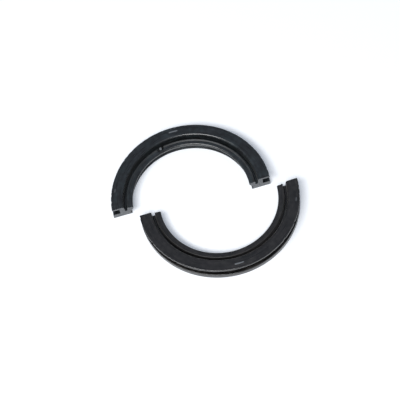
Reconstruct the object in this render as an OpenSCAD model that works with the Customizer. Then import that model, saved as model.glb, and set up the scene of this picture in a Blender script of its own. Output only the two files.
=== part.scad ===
// Two-piece rear main seal for a crankshaft: two moulded rubber half rings of one lip section.
// The halves lie flat beside each other, oil side up, as they come out of the packet.
// The ring axis is +Z, and the upper half is the one further along +Y.

/* [Ring] */
// Diameter of the crankshaft journal that the seal runs on
journal_d = 76.2; // [60:0.2:110]
// Height of the ring from the bottom face to the top face
seal_h = 10.2; // [9.6:0.1:14]
// Arc of the upper half along its outside
upper_arc = 179.5; // [178:0.1:181]
// Arc of the lower half, cut a little long so that the two press together when they close
lower_arc = 180.6; // [178:0.1:181]
// Skew of the knife cut at each end from the radial line, alike at both ends so that the halves close
end_skew = 4; // [0:0.5:8]

/* [Outer channel] */
// Thickness of the flange above the channel
top_flange_t = 1.6; // [1.2:0.1:2.4]
// Height of the channel round the outside
channel_h = 4.8; // [3:0.1:5.2]
// Depth of the channel from the outside to the web
channel_depth = 4.8; // [2:0.1:6]
// Thickness of the web between the channel and the groove, at the top
web_t = 2.8; // [1.8:0.1:6]

/* [Sealing lip] */
// How far the free sealing edge stands inside the journal's surface
edge_squeeze = 0.8; // [0.3:0.05:1]
// Radial width of the lip, from the sealing edge to its crest
lip_w = 3.7; // [3.4:0.1:4.2]
// Drop of the crest below the top face
crest_drop = 1.3; // [1.1:0.1:1.6]
// Radial distance from the crest to the flat top of the lip
crest_w = 1.1; // [1:0.1:1.4]
// Drop of that flat top below the top face
lip_drop = 2.25; // [2:0.05:2.4]
// Slope of the undercut face below the sealing edge, from the ring axis
undercut_angle = 29; // [24:1:32]

/* [Dust lip] */
// Gap between the journal and the edge of the dust lip at the bottom
dust_gap = 0.6; // [0.3:0.05:0.9]
// Height of the dust lip's edge
dust_lip_h = 0.8; // [0.6:0.05:1]

/* [Groove behind the lip] */
// Width of the groove across its mouth
groove_w = 2.2; // [1.8:0.1:3.2]
// Width of the groove across its floor
groove_floor_w = 1.4; // [1.1:0.05:1.6]
// Depth of the groove below the top face
groove_depth = 5.2; // [4.2:0.1:6]

/* [Rounded edges] */
// Round on the outside edges of both flanges
flange_round = 0.5; // [0.1:0.05:0.55]
// Round on the top edge beside the groove
shoulder_round = 1.2; // [0.4:0.1:1.6]
// Round in the roots of the channel, the groove and the two lips
root_round = 0.5; // [0.2:0.05:0.55]
// Round along the crest of the lip
crest_round = 0.5; // [0.2:0.05:0.5]
// Round of the sealing edge itself
edge_round = 1.2; // [1:0.05:1.3]
// Round on the dust lip
dust_round = 0.3; // [0.1:0.05:0.4]

/* [Nick in the upper lip] */
// Place of the nick along the upper half, from its right-hand end
nick_angle = 105.7; // [20:0.1:160]
// Width of the nick at the height of the crest
nick_w = 0.9; // [0.4:0.1:1.6]
// Depth of the nick below the crest
nick_depth = 1.3; // [0.6:0.1:2]

/* [How the halves lie] */
// Sideways distance between the two ring centres
lay_x = 16.3; // [15:0.1:30]
// Distance between the two ring centres from front to back
lay_y = 6.7; // [3:0.1:20]
// Turn of the lower half about its own centre
lay_turn = 0.8; // [0:0.1:3]

/* [Hidden] */
$fn = 180;
rubber_black = [0.17, 0.18, 0.19];
// The rounding arcs reach this far over the sides that they end on, so that they cross them cleanly.
arc_lap = 0.002;

journal_r = journal_d / 2;
dust_r = journal_r + dust_gap;
lip_r = journal_r - edge_squeeze;
crest_r = lip_r + lip_w;
shoulder_r = crest_r + groove_w;
groove_mid_r = (crest_r + shoulder_r) / 2;
channel_floor_r = shoulder_r + web_t;
outer_r = channel_floor_r + channel_depth;

channel_top_z = seal_h - top_flange_t;
base_t = channel_top_z - channel_h;
crest_z = seal_h - crest_drop;
lip_top_z = seal_h - lip_drop;
// The corner that the sealing edge's round stands in, from the flat top and the undercut face.
edge_corner_r = lip_r + edge_round - edge_round / tan((90 - undercut_angle) / 2);
// The root between the lips, where the undercut face meets the dust lip's top, which slopes at 45 degrees.
undercut_run = tan(undercut_angle);
root_z = (edge_corner_r + lip_top_z * undercut_run - dust_r + dust_lip_h) / (1 + undercut_run);
root_r = dust_r + root_z - dust_lip_h;
groove_z = seal_h - groove_depth;

// Corners of the moulded section, as [radius, height] and the round on each, in order round the section.
section = [
    [[dust_r, 0], dust_round],
    [[outer_r, 0], flange_round],
    [[outer_r, base_t], flange_round],
    [[channel_floor_r, base_t], root_round],
    [[channel_floor_r, channel_top_z], root_round],
    [[outer_r, channel_top_z], flange_round],
    [[outer_r, seal_h], flange_round],
    [[shoulder_r, seal_h], shoulder_round],
    [[groove_mid_r + groove_floor_w / 2, groove_z], root_round],
    [[groove_mid_r - groove_floor_w / 2, groove_z], root_round],
    [[crest_r, crest_z], crest_round],
    [[crest_r - crest_w, lip_top_z], root_round],
    [[edge_corner_r, lip_top_z], edge_round],
    [[root_r, root_z], root_round],
    [[dust_r, dust_lip_h], dust_round],
];

function unit(v) = v / norm(v);

// Positive where the outline a, p, b turns left at p, so the corner there points out of the solid.
function turn(a, p, b) = cross(p - a, b - p);

// The four-sided patch at a corner p that its rounding arc crosses, with the arc's centre as the third point.
// Its tip stands half a radius past the corner, so that its sides don't lie along those of the section.
function corner_patch(a, p, b, r) =
    let (
        to_a = unit(a - p),
        to_b = unit(b - p),
        to_centre = unit(to_a + to_b),
        half_angle = acos(to_a * to_b) / 2,
        reach = r / tan(half_angle)
    )
    [p - to_centre * r / 2, p + to_a * reach, p + to_centre * r / sin(half_angle), p + to_b * reach];

// The sliver that rounding takes from an outer corner, or adds in an inner one.
module corner_sliver(a, p, b, r) {
    patch = corner_patch(a, p, b, r);
    difference() {
        polygon(patch);
        translate(patch[2]) circle(r = r + arc_lap);
    }
}

// The slivers of all outer corners, or of all inner ones.
module slivers(corners, outer) {
    count = len(corners);
    for (i = [0 : count - 1]) {
        before = corners[(i + count - 1) % count][0];
        after = corners[(i + 1) % count][0];
        if ((turn(before, corners[i][0], after) > 0) == outer)
            corner_sliver(before, corners[i][0], after, corners[i][1]);
    }
}

module rounded_section(corners) {
    difference() {
        union() {
            polygon([for (corner = corners) corner[0]]);
            slivers(corners, false);
        }
        slivers(corners, true);
    }
}

// A block beside the knife's path at one end, whose face stands on the outside edge of that end.
// The side is -1 for what lies before the start of the arc and 1 for what lies past its finish.
module end_waste(side) {
    block = 2 * (outer_r - lip_r);
    translate([outer_r, 0, 0])
        rotate([0, 0, end_skew])
            translate([-block, side > 0 ? 0 : -block, -seal_h / 2])
                cube([2 * block, block, 2 * seal_h]);
}

// One half ring about the Z axis, from the +X side round to the -X side.
module half_ring(arc) {
    spare_arc = end_skew + 1;
    difference() {
        rotate_extrude(start = -spare_arc, angle = arc + 2 * spare_arc) rounded_section(section);
        end_waste(-1);
        rotate([0, 0, arc]) end_waste(1);
    }
}

// A narrow V-shaped tear across the crest of the lip, open to the groove.
module lip_nick() {
    rotate([0, 0, nick_angle])
        translate([groove_mid_r, 0, crest_z - nick_depth])
            rotate([90, 0, -90])
                linear_extrude(height = groove_mid_r - dust_r)
                    polygon([
                        [0, 0],
                        [nick_w, 2 * nick_depth],
                        [-nick_w, 2 * nick_depth],
                    ]);
}

module upper_half_seal() {
    color(rubber_black)
        translate([-lay_x / 2, lay_y / 2, 0])
            difference() {
                half_ring(upper_arc);
                lip_nick();
            }
}

module lower_half_seal() {
    color(rubber_black)
        translate([lay_x / 2, -lay_y / 2, 0])
            rotate([0, 0, 180 + lay_turn])
                half_ring(lower_arc);
}

upper_half_seal();
lower_half_seal();
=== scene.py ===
import math
import bmesh
import bpy
from mathutils import Matrix, Vector, noise


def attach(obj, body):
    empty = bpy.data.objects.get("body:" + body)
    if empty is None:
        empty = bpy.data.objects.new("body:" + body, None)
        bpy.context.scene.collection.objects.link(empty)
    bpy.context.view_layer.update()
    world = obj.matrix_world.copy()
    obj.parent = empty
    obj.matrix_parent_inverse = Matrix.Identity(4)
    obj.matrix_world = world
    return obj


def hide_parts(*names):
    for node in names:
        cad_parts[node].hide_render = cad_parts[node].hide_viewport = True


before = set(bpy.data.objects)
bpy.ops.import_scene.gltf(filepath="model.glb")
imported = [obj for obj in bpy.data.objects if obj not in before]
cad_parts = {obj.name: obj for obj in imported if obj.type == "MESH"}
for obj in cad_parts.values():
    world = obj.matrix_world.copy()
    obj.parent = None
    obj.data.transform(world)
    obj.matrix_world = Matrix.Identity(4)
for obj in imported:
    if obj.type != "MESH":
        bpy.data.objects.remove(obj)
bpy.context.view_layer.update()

# Upper half seal
# One half of a split crankshaft oil seal, compression moulded in black nitrile rubber as a single piece.
# Its section has a channel between two flanges outside, then a web, a groove, a sealing lip and a dust lip.
# Both ends are knife cuts a little off the radial line, and this half's lip has a small tear.
MM = 0.001
OUTER_R = 50.8
CHANNEL_R = 46.0
SHOULDER_R = 43.2
CREST_R = 41.0
GROOVE_R = (CREST_R + SHOULDER_R) / 2
GROOVE_FLOOR_W = 1.4
LIP_FLAT_R = 39.9
DUST_LIP_R = 38.7
LIP_R = 37.3
SEAL_H = 10.2
CREST_Z = 8.9
CHANNEL_TOP_Z = 8.6
LIP_TOP_Z = 7.95
GROOVE_Z = 5.0
BASE_T = 3.8
DUST_LIP_H = 0.8
FLANGE_ROUND = 0.5
SHOULDER_ROUND = 1.2
ROOT_ROUND = 0.5
CREST_ROUND = 0.5
EDGE_ROUND = 1.2
DUST_ROUND = 0.3
UNDERCUT_DEG = 29.0
# The corner that the sealing edge's round stands in, and the root where the undercut face meets the dust lip,
# whose top slopes at 45 degrees.
UNDERCUT_RUN = math.tan(math.radians(UNDERCUT_DEG))
EDGE_CORNER_R = LIP_R + EDGE_ROUND - EDGE_ROUND / math.tan(math.radians(90 - UNDERCUT_DEG) / 2)
ROOT_Z = (EDGE_CORNER_R + LIP_TOP_Z * UNDERCUT_RUN - DUST_LIP_R + DUST_LIP_H) / (1 + UNDERCUT_RUN)
ROOT_R = DUST_LIP_R + ROOT_Z - DUST_LIP_H
# Corners of the moulded section: radius, height and round.
SECTION = [
    (DUST_LIP_R, 0.0, DUST_ROUND),
    (OUTER_R, 0.0, FLANGE_ROUND),
    (OUTER_R, BASE_T, FLANGE_ROUND),
    (CHANNEL_R, BASE_T, ROOT_ROUND),
    (CHANNEL_R, CHANNEL_TOP_Z, ROOT_ROUND),
    (OUTER_R, CHANNEL_TOP_Z, FLANGE_ROUND),
    (OUTER_R, SEAL_H, FLANGE_ROUND),
    (SHOULDER_R, SEAL_H, SHOULDER_ROUND),
    (GROOVE_R + GROOVE_FLOOR_W / 2, GROOVE_Z, ROOT_ROUND),
    (GROOVE_R - GROOVE_FLOOR_W / 2, GROOVE_Z, ROOT_ROUND),
    (CREST_R, CREST_Z, CREST_ROUND),
    (LIP_FLAT_R, LIP_TOP_Z, ROOT_ROUND),
    (EDGE_CORNER_R, LIP_TOP_Z, EDGE_ROUND),
    (ROOT_R, ROOT_Z, ROOT_ROUND),
    (DUST_LIP_R, DUST_LIP_H, DUST_ROUND),
]
END_SKEW = 4.0
SPIN_STEPS = 300
ROUND_SEGMENTS = 7
TOLERANCE = 0.001


def polar(angle_deg, radius, z=0.0):
    turn = math.radians(angle_deg)
    return Vector((radius * math.cos(turn), radius * math.sin(turn), z)) * MM


def whole(faces):
    """The faces with all their edges and vertices, as the bmesh operators take them."""
    return list({part for face in faces for part in (face, *face.edges, *face.verts)})


def moulded_ring(arc):
    """Spins the section a little past both ends of the arc, and rounds the edge that each corner makes."""
    spare = END_SKEW + 1
    bm = bmesh.new()
    profile = bm.faces.new([bm.verts.new(polar(-spare, r, z)) for r, z, _ in SECTION])
    bmesh.ops.spin(
        bm, geom=whole([profile]), axis=(0, 0, 1), cent=(0, 0, 0),
        angle=math.radians(arc + 2 * spare), steps=SPIN_STEPS)
    bmesh.ops.recalc_face_normals(bm, faces=bm.faces)
    for i, (r, z, rounding) in enumerate(SECTION):
        before = Vector(SECTION[i - 1][:2]) - Vector((r, z))
        after = Vector(SECTION[(i + 1) % len(SECTION)][:2]) - Vector((r, z))
        reach = rounding / math.tan(before.angle(after) / 2)
        ring = [
            e for e in bm.edges
            if all(
                abs(v.co.xy.length / MM - r) < TOLERANCE and abs(v.co.z / MM - z) < TOLERANCE
                for v in e.verts)
        ]
        bmesh.ops.bevel(
            bm, geom=ring, offset=reach * MM, offset_type="OFFSET", affect="EDGES",
            segments=ROUND_SEGMENTS, profile=0.5, material=-1)
    return bm


def cut_ends(bm, arc):
    """Cuts both ends to length along the knife's path, and closes them with the cut rubber's material."""
    for place, side in ((0.0, -1), (arc, 1)):
        pivot = polar(place, OUTER_R)
        waste = polar(place + END_SKEW + 90, side / MM)
        near = [f for f in bm.faces if f.calc_center_median().x * pivot.x > 0]
        cut = bmesh.ops.bisect_plane(bm, geom=whole(near), plane_co=pivot, plane_no=waste, clear_outer=True)
        rim = [e for e in cut["geom_cut"] if isinstance(e, bmesh.types.BMEdge)]
        for edge in rim:
            edge.smooth = False
        bmesh.ops.edgeloop_fill(bm, edges=rim, mat_nr=1)
    bmesh.ops.recalc_face_normals(bm, faces=bm.faces)


FLASH_LENGTH = 2.2
FLASH_BITE = 0.25
FLASH_BITE_AT_ENDS = 1.1


def trim_flash(bm, seed):
    """Nibbles the outer edge of the top flange where flash was trimmed off by hand, most near the ends."""
    for v in bm.verts:
        radius = v.co.xy.length / MM
        if radius > OUTER_R - FLANGE_ROUND / 2 and v.co.z / MM > CHANNEL_TOP_Z:
            along = math.atan2(v.co.y, v.co.x)
            near_end = abs(math.cos(along)) ** 3
            depth = FLASH_BITE + (FLASH_BITE_AT_ENDS - FLASH_BITE) * near_end
            bite = depth * max(0.0, noise.noise(Vector((along * OUTER_R / FLASH_LENGTH, seed, 0.0))))
            v.co.xy *= 1 - bite / OUTER_R


TEAR_ANGLE = 105.7
TEAR_W = 0.9
TEAR_DEPTH = 1.3
SAG_W = 3.9
SAG_INNER_R = 39.4
FLAP = (1.2, 2.6)
FLAP_FOOT_R = 39.5
FLAP_TOP_R = 40.6
FLAP_LIFT = 0.7


def tear_lip(bm):
    """Opens a V-shaped tear across the lip's crest, with a torn flap and sagged rubber beside it."""
    middle = polar(TEAR_ANGLE, 1 / MM)
    tangent = polar(TEAR_ANGLE + 90, 1 / MM)
    half_w = TEAR_W / 2

    def beside_tear(face):
        spot = face.calc_center_median() / MM
        on_lip = LIP_R < spot.xy.length < GROOVE_R and spot.z > GROOVE_Z
        return on_lip and abs(spot.dot(tangent)) < 2 * SAG_W and spot.dot(middle) > 0

    sides = [-half_w, -half_w / 2, 0, half_w / 2, half_w, *FLAP]
    sides += [(half_w + FLAP[0]) / 2, FLAP[1] + half_w, SAG_W]
    planes = [(tangent * side * MM, tangent) for side in sides]
    planes += [(middle * r * MM, middle) for r in (FLAP_FOOT_R, SAG_INNER_R, FLAP_TOP_R)]
    for point, normal in planes:
        near = [f for f in bm.faces if beside_tear(f)]
        bmesh.ops.bisect_plane(bm, geom=whole(near), plane_co=point, plane_no=normal)
    for v in bm.verts:
        across, out, z = v.co.dot(tangent) / MM, v.co.dot(middle) / MM, v.co.z / MM
        if not SAG_INNER_R < out < GROOVE_R or z < LIP_TOP_Z - TEAR_DEPTH or not -half_w < across < SAG_W:
            continue
        if across < half_w:
            z = min(z, CREST_Z - TEAR_DEPTH * (1 - abs(across) / half_w))
        elif FLAP[0] - TOLERANCE < across < FLAP[1] + TOLERANCE:
            z += FLAP_LIFT * max(0.0, out - FLAP_FOOT_R) / (GROOVE_R - FLAP_FOOT_R)
        else:
            z -= TEAR_DEPTH
        v.co.z = z * MM
    # The flap takes the pale cut grey, partly painted light for its lit face; the sagged faces round it are
    # painted nearly black, a painted shade for the pit of the tear.
    for face in bm.faces:
        spot = face.calc_center_median()
        across, out = spot.dot(tangent) / MM, spot.dot(middle) / MM
        if not -half_w < across < SAG_W or not SAG_INNER_R < out < GROOVE_R or spot.z < GROOVE_Z * MM:
            continue
        face.material_index = 1 if FLAP[0] < across < FLAP[1] and out < FLAP_TOP_R else 2


def lay_down(bm, centre, turn_deg):
    place = Matrix.Translation(Vector((*centre, 0)) * MM) @ Matrix.Rotation(math.radians(turn_deg), 4, "Z")
    bmesh.ops.transform(bm, matrix=place, verts=bm.verts)


def add_piece(name, bm, materials, smooth=True):
    """Makes the mesh an object, with the moulded skin shaded smooth and the cut faces flat."""
    mesh = bpy.data.meshes.new(name)
    bm.to_mesh(mesh)
    bm.free()
    for polygon in mesh.polygons:
        polygon.use_smooth = smooth and polygon.material_index == 0
    for material in materials:
        mesh.materials.append(material)
    piece = bpy.data.objects.new(name, mesh)
    bpy.context.scene.collection.objects.link(piece)
    return piece


def linear(hex_colour):
    channels = [int(hex_colour[i:i + 2], 16) / 255 for i in (1, 3, 5)]
    return [c / 12.92 if c <= 0.04045 else ((c + 0.055) / 1.055) ** 2.4 for c in channels] + [1.0]


def add_node(tree, kind, feeds, **settings):
    """Adds a node with its settings; each feed is a constant, another node's first output, or a socket."""
    node = tree.nodes.new(kind)
    for name, value in settings.items():
        setattr(node, name, value)
    for socket, feed in feeds.items():
        if isinstance(feed, bpy.types.Node):
            feed = feed.outputs[0]
        if isinstance(feed, bpy.types.NodeSocket):
            tree.links.new(feed, node.inputs[socket])
        else:
            node.inputs[socket].default_value = feed
    return node


# Sizes of the rubber's patterns. The grain is drawn coarser than the real one, about a pixel wide, to show.
CLOUD_SIZE = 9.1
BLOTCH_SIZE = 2.22
FLOW_LINE_W = 1.11
GRAIN_SIZE = 0.625
GRAIN_RELIEF = 0.01
# The flow lines are drawn out along the arc, as if they had been laid on a ring of this radius.
FLOW_R = 5.0
# The crest was trimmed after moulding. It is dull up to the first distance from its middle, and as glossy as
# the rest from the second.
TRIMMED = (0.55, 0.95)
# The bloom makes the skin shade from darker to paler than its tint, in blotches and along the flow lines.
BLOTCH_SHADE = (0.35, 1.65)
FLOW_SHADE = (0.25, 1.75)
# The skin's gloss needs a higher IOR than the 1.5 or so of plain rubber.
MOULDED_IOR = 1.75
MOULDED_ROUGHNESS = (0.26, 0.34)
TRIMMED_ROUGHNESS = 0.58
# The pale pads on the top face, a painted highlight for small raised marks that catch the light: place along
# the arc in degrees, radius, length, width, and how pale it is.
PADS = [
    (92.8, 47.6, 5.8, 0.8, 1.0),
    (163.2, 48.5, 2.6, 0.7, 0.45),
]
PAD_COLOUR = "#707478"
PAD_EDGE = 0.1
PAD_RELIEF = 8.0
TOP_SKIN = 0.1


def moulded_rubber(name, centre, turn_deg, seed, tints):
    """Black nitrile rubber as it leaves the mould: a satin skin with a thin grey bloom in soft clouds and
    blotches, faint flow lines along the arc and a fine grain. The trimmed crest is duller, and two small
    pads are painted pale, a painted highlight for raised marks that catch the light."""
    material = bpy.data.materials.new(name)
    material.use_nodes = True
    tree = material.node_tree
    shader = tree.nodes["Principled BSDF"]
    place = add_node(tree, "ShaderNodeTexCoord", {})
    local = add_node(
        tree, "ShaderNodeMapping",
        {"Vector": place.outputs["Object"], "Location": Vector((*centre, 0)) * MM,
         "Rotation": (0, 0, math.radians(turn_deg)), "Scale": (MM, MM, MM)}, vector_type="TEXTURE")
    axes = add_node(tree, "ShaderNodeSeparateXYZ", {0: local})
    angle = add_node(
        tree, "ShaderNodeMath", {0: axes.outputs["Y"], 1: axes.outputs["X"]}, operation="ARCTAN2")
    flat = add_node(tree, "ShaderNodeCombineXYZ", {"X": axes.outputs["X"], "Y": axes.outputs["Y"]})
    radius = add_node(tree, "ShaderNodeVectorMath", {0: flat}, operation="LENGTH").outputs["Value"]

    clouds = add_node(
        tree, "ShaderNodeTexNoise", {"Vector": local, "W": seed, "Scale": 1 / CLOUD_SIZE, "Detail": 3.0},
        noise_dimensions="4D")
    arc = add_node(tree, "ShaderNodeMath", {0: angle, 1: FLOW_R}, operation="MULTIPLY")
    unrolled = add_node(tree, "ShaderNodeCombineXYZ", {"X": arc, "Y": radius, "Z": axes.outputs["Z"]})
    flow = add_node(
        tree, "ShaderNodeTexNoise", {"Vector": unrolled, "W": seed, "Scale": 1 / FLOW_LINE_W, "Detail": 2.0},
        noise_dimensions="4D")
    blotches = add_node(
        tree, "ShaderNodeTexNoise", {"Vector": local, "W": seed, "Scale": 1 / BLOTCH_SIZE, "Detail": 3.0},
        noise_dimensions="4D")
    grain = add_node(tree, "ShaderNodeTexNoise", {"Vector": local, "Scale": 1 / GRAIN_SIZE, "Detail": 3.0})

    drift = add_node(
        tree, "ShaderNodeMapRange",
        {"Value": clouds, "From Min": 0.35, "From Max": 0.65, "To Min": 0.0, "To Max": 1.0})
    tint = add_node(
        tree, "ShaderNodeMix", {0: drift, 6: linear(tints[0]), 7: linear(tints[1])}, data_type="RGBA")
    streaks = add_node(
        tree, "ShaderNodeMapRange",
        {"Value": flow, "From Min": 0.3, "From Max": 0.7, "To Min": FLOW_SHADE[0], "To Max": FLOW_SHADE[1]})
    bloom = add_node(
        tree, "ShaderNodeMapRange",
        {"Value": blotches, "From Min": 0.35, "From Max": 0.65,
         "To Min": BLOTCH_SHADE[0], "To Max": BLOTCH_SHADE[1]})
    shade = add_node(tree, "ShaderNodeMath", {0: streaks, 1: bloom}, operation="MULTIPLY")
    toned = add_node(tree, "ShaderNodeVectorMath", {0: tint.outputs[2], 3: shade}, operation="SCALE")

    # Painted highlight: the pads are painted pale where small raised marks would catch the light.
    pad_highlight = None
    for place_deg, pad_r, length, width, paleness in PADS:
        turn = add_node(tree, "ShaderNodeMath", {0: angle, 1: math.radians(place_deg)}, operation="SUBTRACT")
        along = add_node(tree, "ShaderNodeMath", {0: turn, 1: pad_r}, operation="MULTIPLY")
        away = add_node(tree, "ShaderNodeMath", {0: along}, operation="ABSOLUTE")
        past = add_node(tree, "ShaderNodeMath", {0: away, 1: (length - width) / 2}, operation="SUBTRACT")
        beyond = add_node(tree, "ShaderNodeMath", {0: past, 1: 0.0}, operation="MAXIMUM")
        aside = add_node(tree, "ShaderNodeMath", {0: radius, 1: pad_r}, operation="SUBTRACT")
        offset = add_node(tree, "ShaderNodeCombineXYZ", {"X": beyond, "Y": aside})
        distance = add_node(tree, "ShaderNodeVectorMath", {0: offset}, operation="LENGTH").outputs["Value"]
        pad = add_node(
            tree, "ShaderNodeMapRange",
            {"Value": distance, "From Min": width * (0.5 + PAD_EDGE), "From Max": width * (0.5 - PAD_EDGE),
             "To Min": 0.0, "To Max": paleness})
        pad_highlight = pad if pad_highlight is None else add_node(
            tree, "ShaderNodeMath", {0: pad_highlight, 1: pad}, operation="MAXIMUM")
    on_top = add_node(
        tree, "ShaderNodeMath", {0: axes.outputs["Z"], 1: SEAL_H - TOP_SKIN}, operation="GREATER_THAN")
    pad_highlight = add_node(tree, "ShaderNodeMath", {0: pad_highlight, 1: on_top}, operation="MULTIPLY")
    colour = add_node(
        tree, "ShaderNodeMix", {0: pad_highlight, 6: toned.outputs[0], 7: linear(PAD_COLOUR)}, data_type="RGBA")
    tree.links.new(colour.outputs[2], shader.inputs["Base Color"])

    skin = add_node(
        tree, "ShaderNodeMapRange",
        {"Value": flow, "From Min": 0.3, "From Max": 0.7,
         "To Min": MOULDED_ROUGHNESS[0], "To Max": MOULDED_ROUGHNESS[1]})
    from_crest = add_node(
        tree, "ShaderNodeMath", {0: radius, 1: (LIP_FLAT_R + CREST_R) / 2}, operation="SUBTRACT")
    off_crest = add_node(tree, "ShaderNodeMath", {0: from_crest}, operation="ABSOLUTE")
    trimmed = add_node(
        tree, "ShaderNodeMapRange",
        {"Value": off_crest, "From Min": TRIMMED[1], "From Max": TRIMMED[0],
         "To Min": 0.0, "To Max": TRIMMED_ROUGHNESS})
    dull = add_node(tree, "ShaderNodeMath", {0: skin, 1: trimmed}, operation="MAXIMUM")
    tree.links.new(dull.outputs[0], shader.inputs["Roughness"])
    relief = add_node(tree, "ShaderNodeMath", {0: pad_highlight, 1: PAD_RELIEF, 2: grain}, operation="MULTIPLY_ADD")
    bump = add_node(
        tree, "ShaderNodeBump", {"Height": relief, "Strength": 1.0, "Distance": GRAIN_RELIEF * MM})
    tree.links.new(bump.outputs[0], shader.inputs["Normal"])
    shader.inputs["IOR"].default_value = MOULDED_IOR
    shader.inputs["Sheen Weight"].default_value = 0.1
    shader.inputs["Sheen Roughness"].default_value = 0.4
    return material


DRAG_LENGTH = 2.5
DRAG_W = 0.4


def cut_rubber(name, dark, pale):
    """Rubber that was opened after moulding: duller than the skin, with fine level drag lines."""
    material = bpy.data.materials.new(name)
    material.use_nodes = True
    tree = material.node_tree
    shader = tree.nodes["Principled BSDF"]
    place = add_node(tree, "ShaderNodeTexCoord", {})
    along, across = 1 / (DRAG_LENGTH * MM), 1 / (DRAG_W * MM)
    stretched = add_node(
        tree, "ShaderNodeMapping", {"Vector": place.outputs["Object"], "Scale": (along, along, across)})
    drag = add_node(tree, "ShaderNodeTexNoise", {"Vector": stretched, "Scale": 1.0, "Detail": 3.0})
    tone = add_node(
        tree, "ShaderNodeMix", {0: drag, 6: linear(dark), 7: linear(pale)}, data_type="RGBA")
    tree.links.new(tone.outputs[2], shader.inputs["Base Color"])
    shader.inputs["Roughness"].default_value = 0.55
    shader.inputs["IOR"].default_value = 1.55
    return material


UPPER_CENTRE = (-8.15, 3.35)
UPPER_TURN = 0.0
UPPER_ARC = 179.5
UPPER_SEED = 1.0
UPPER_TINTS = ("#191c1f", "#171e20")
upper_mesh = moulded_ring(UPPER_ARC)
cut_ends(upper_mesh, UPPER_ARC)
trim_flash(upper_mesh, UPPER_SEED)
tear_lip(upper_mesh)
lay_down(upper_mesh, UPPER_CENTRE, UPPER_TURN)
# The knife leaves a greyer tone than the skin, and the cut faces are painted paler still: painted light for
# the bright sheet that these faces reflect toward the camera. The tear is painted nearly black inside, a
# painted shade.
cut_grey_and_painted_light = cut_rubber("knife-cut nitrile rubber, partly painted light", "#606366", "#787b7e")
# Painted shade: the tear's sagged faces are painted nearly black for the shade of a pit deeper than the mesh.
torn = cut_rubber("black painted shade in the tear", "#040405", "#0a0a0c")
upper_skin = moulded_rubber(
    "moulded nitrile rubber, upper half", UPPER_CENTRE, UPPER_TURN, UPPER_SEED, UPPER_TINTS)
upper = add_piece("upper_half", upper_mesh, [upper_skin, cut_grey_and_painted_light, torn])
upper.modifiers.new("even shading", "WEIGHTED_NORMAL").keep_sharp = True
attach(upper, "root")
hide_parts("upper_half_seal")

# Lower half seal
# The same moulding as the upper half, cut a little longer, with a whole lip and a slightly browner black.
# It lies free on the sheet, turned half round on the ring axis, to the right of the upper half and nearer.
LOWER_CENTRE = (8.15, -3.35)
LOWER_TURN = 180.8
LOWER_ARC = 180.6
LOWER_SEED = 5.0
LOWER_TINTS = ("#1a1818", "#191817")
lower_mesh = moulded_ring(LOWER_ARC)
cut_ends(lower_mesh, LOWER_ARC)
trim_flash(lower_mesh, LOWER_SEED)
lay_down(lower_mesh, LOWER_CENTRE, LOWER_TURN)
lower_skin = moulded_rubber(
    "moulded nitrile rubber, lower half", LOWER_CENTRE, LOWER_TURN, LOWER_SEED, LOWER_TINTS)
lower = add_piece("lower_half", lower_mesh, [lower_skin, cut_grey_and_painted_light])
lower.modifiers.new("even shading", "WEIGHTED_NORMAL").keep_sharp = True
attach(lower, "root")
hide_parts("lower_half_seal")

# White sheet
# A large smooth sheet of white paper that the halves lie on.
# The camera and reflections see it a little brighter than it is lit, so that it comes out white.
# That brightness is faintly blue, which shows only in the shadows.
SHEET_SIZE = 4.0
SHEET_LIFT = 0.32
sheet_mesh = bmesh.new()
bmesh.ops.create_grid(sheet_mesh, x_segments=1, y_segments=1, size=SHEET_SIZE / 2)
paper = bpy.data.materials.new("white paper")
paper.use_nodes = True
paper_tree = paper.node_tree
paper_shader = paper_tree.nodes["Principled BSDF"]
paper_shader.inputs["Base Color"].default_value = linear("#f8f8f8")
paper_shader.inputs["Roughness"].default_value = 0.9
paper_shader.inputs["Emission Color"].default_value = linear("#eaf3ff")
sight = add_node(paper_tree, "ShaderNodeLightPath", {})
seen = add_node(
    paper_tree, "ShaderNodeMath",
    {0: sight.outputs["Is Camera Ray"], 1: sight.outputs["Is Glossy Ray"]}, operation="MAXIMUM")
lift = add_node(paper_tree, "ShaderNodeMath", {0: seen, 1: SHEET_LIFT}, operation="MULTIPLY")
paper_tree.links.new(lift.outputs[0], paper_shader.inputs["Emission Strength"])
sheet = add_piece("sheet", sheet_mesh, [paper], smooth=False)

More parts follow.
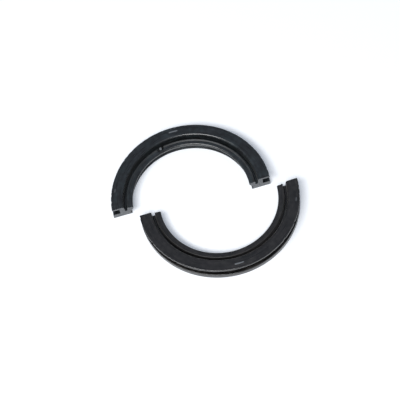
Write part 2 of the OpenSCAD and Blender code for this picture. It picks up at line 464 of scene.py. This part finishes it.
# Studio light
# One wide softbox stands at the front left, above the pair, and draws the highlights along the rims.
# The room round it is dim and cool, with a paler ceiling that greys the top faces a little.
ROOM_WALLS = 0.06
ROOM_CEILING = 0.4
SOFTBOX_AZIMUTH = -124
SOFTBOX_ELEVATION = 55
SOFTBOX_DISTANCE = 2.2
SOFTBOX_W = 1.5
SOFTBOX_DEPTH = 0.62
SOFTBOX_POWER = 42.0
world = bpy.data.worlds.new("dim room")
bpy.context.scene.world = world
world.use_nodes = True
room = world.node_tree
room.nodes["Background"].inputs["Color"].default_value = linear("#d6dff0")
direction = add_node(room, "ShaderNodeTexCoord", {}).outputs["Generated"]
upwards = add_node(room, "ShaderNodeSeparateXYZ", {0: direction}).outputs["Z"]
ceiling = add_node(
    room, "ShaderNodeMapRange",
    {"Value": upwards, "From Min": 0.0, "From Max": 1.0, "To Min": ROOM_WALLS, "To Max": ROOM_CEILING})
room.links.new(ceiling.outputs[0], room.nodes["Background"].inputs["Strength"])
lamp = bpy.data.lights.new("front softbox", "AREA")
lamp.shape = "RECTANGLE"
lamp.size = SOFTBOX_W
lamp.size_y = SOFTBOX_DEPTH
lamp.energy = SOFTBOX_POWER
softbox = bpy.data.objects.new("front softbox", lamp)
around, above = math.radians(SOFTBOX_AZIMUTH), math.radians(SOFTBOX_ELEVATION)
softbox.location = SOFTBOX_DISTANCE * Vector(
    (math.cos(around) * math.cos(above), math.sin(around) * math.cos(above), math.sin(above)))
softbox.rotation_euler = (-softbox.location).to_track_quat("-Z", "Y").to_euler()
bpy.context.scene.collection.objects.link(softbox)

# Camera
# A long lens looks down on the pair from the front, rolled a little to one side.
# Its distance is counted in picture pixels, each of which spans PIXEL_MM at the point aimed at.
ELEVATION = 61.56
AZIMUTH = -1.74
ROLL = 11.12
PIXEL_MM = 0.6348
DISTANCE_PX = 1252
FRAME_PX = 400
SENSOR_W = 36
AIM = (-3.35, 3.01, 0.0)
camera_data = bpy.data.cameras.new("camera")
camera_data.sensor_width = SENSOR_W
camera_data.lens = SENSOR_W * DISTANCE_PX / FRAME_PX
camera = bpy.data.objects.new("camera", camera_data)
tilt, swing = math.radians(ELEVATION), math.radians(AZIMUTH)
back = Vector((math.sin(swing) * math.cos(tilt), -math.cos(swing) * math.cos(tilt), math.sin(tilt)))
look = (-back).to_track_quat("-Z", "Y").to_matrix() @ Matrix.Rotation(math.radians(-ROLL), 3, "Z")
aim = Vector(AIM) * MM
camera.matrix_world = Matrix.Translation(aim + back * DISTANCE_PX * PIXEL_MM * MM) @ look.to_4x4()
bpy.context.scene.collection.objects.link(camera)
bpy.context.scene.camera = camera
bpy.context.scene.view_settings.view_transform = "Standard"
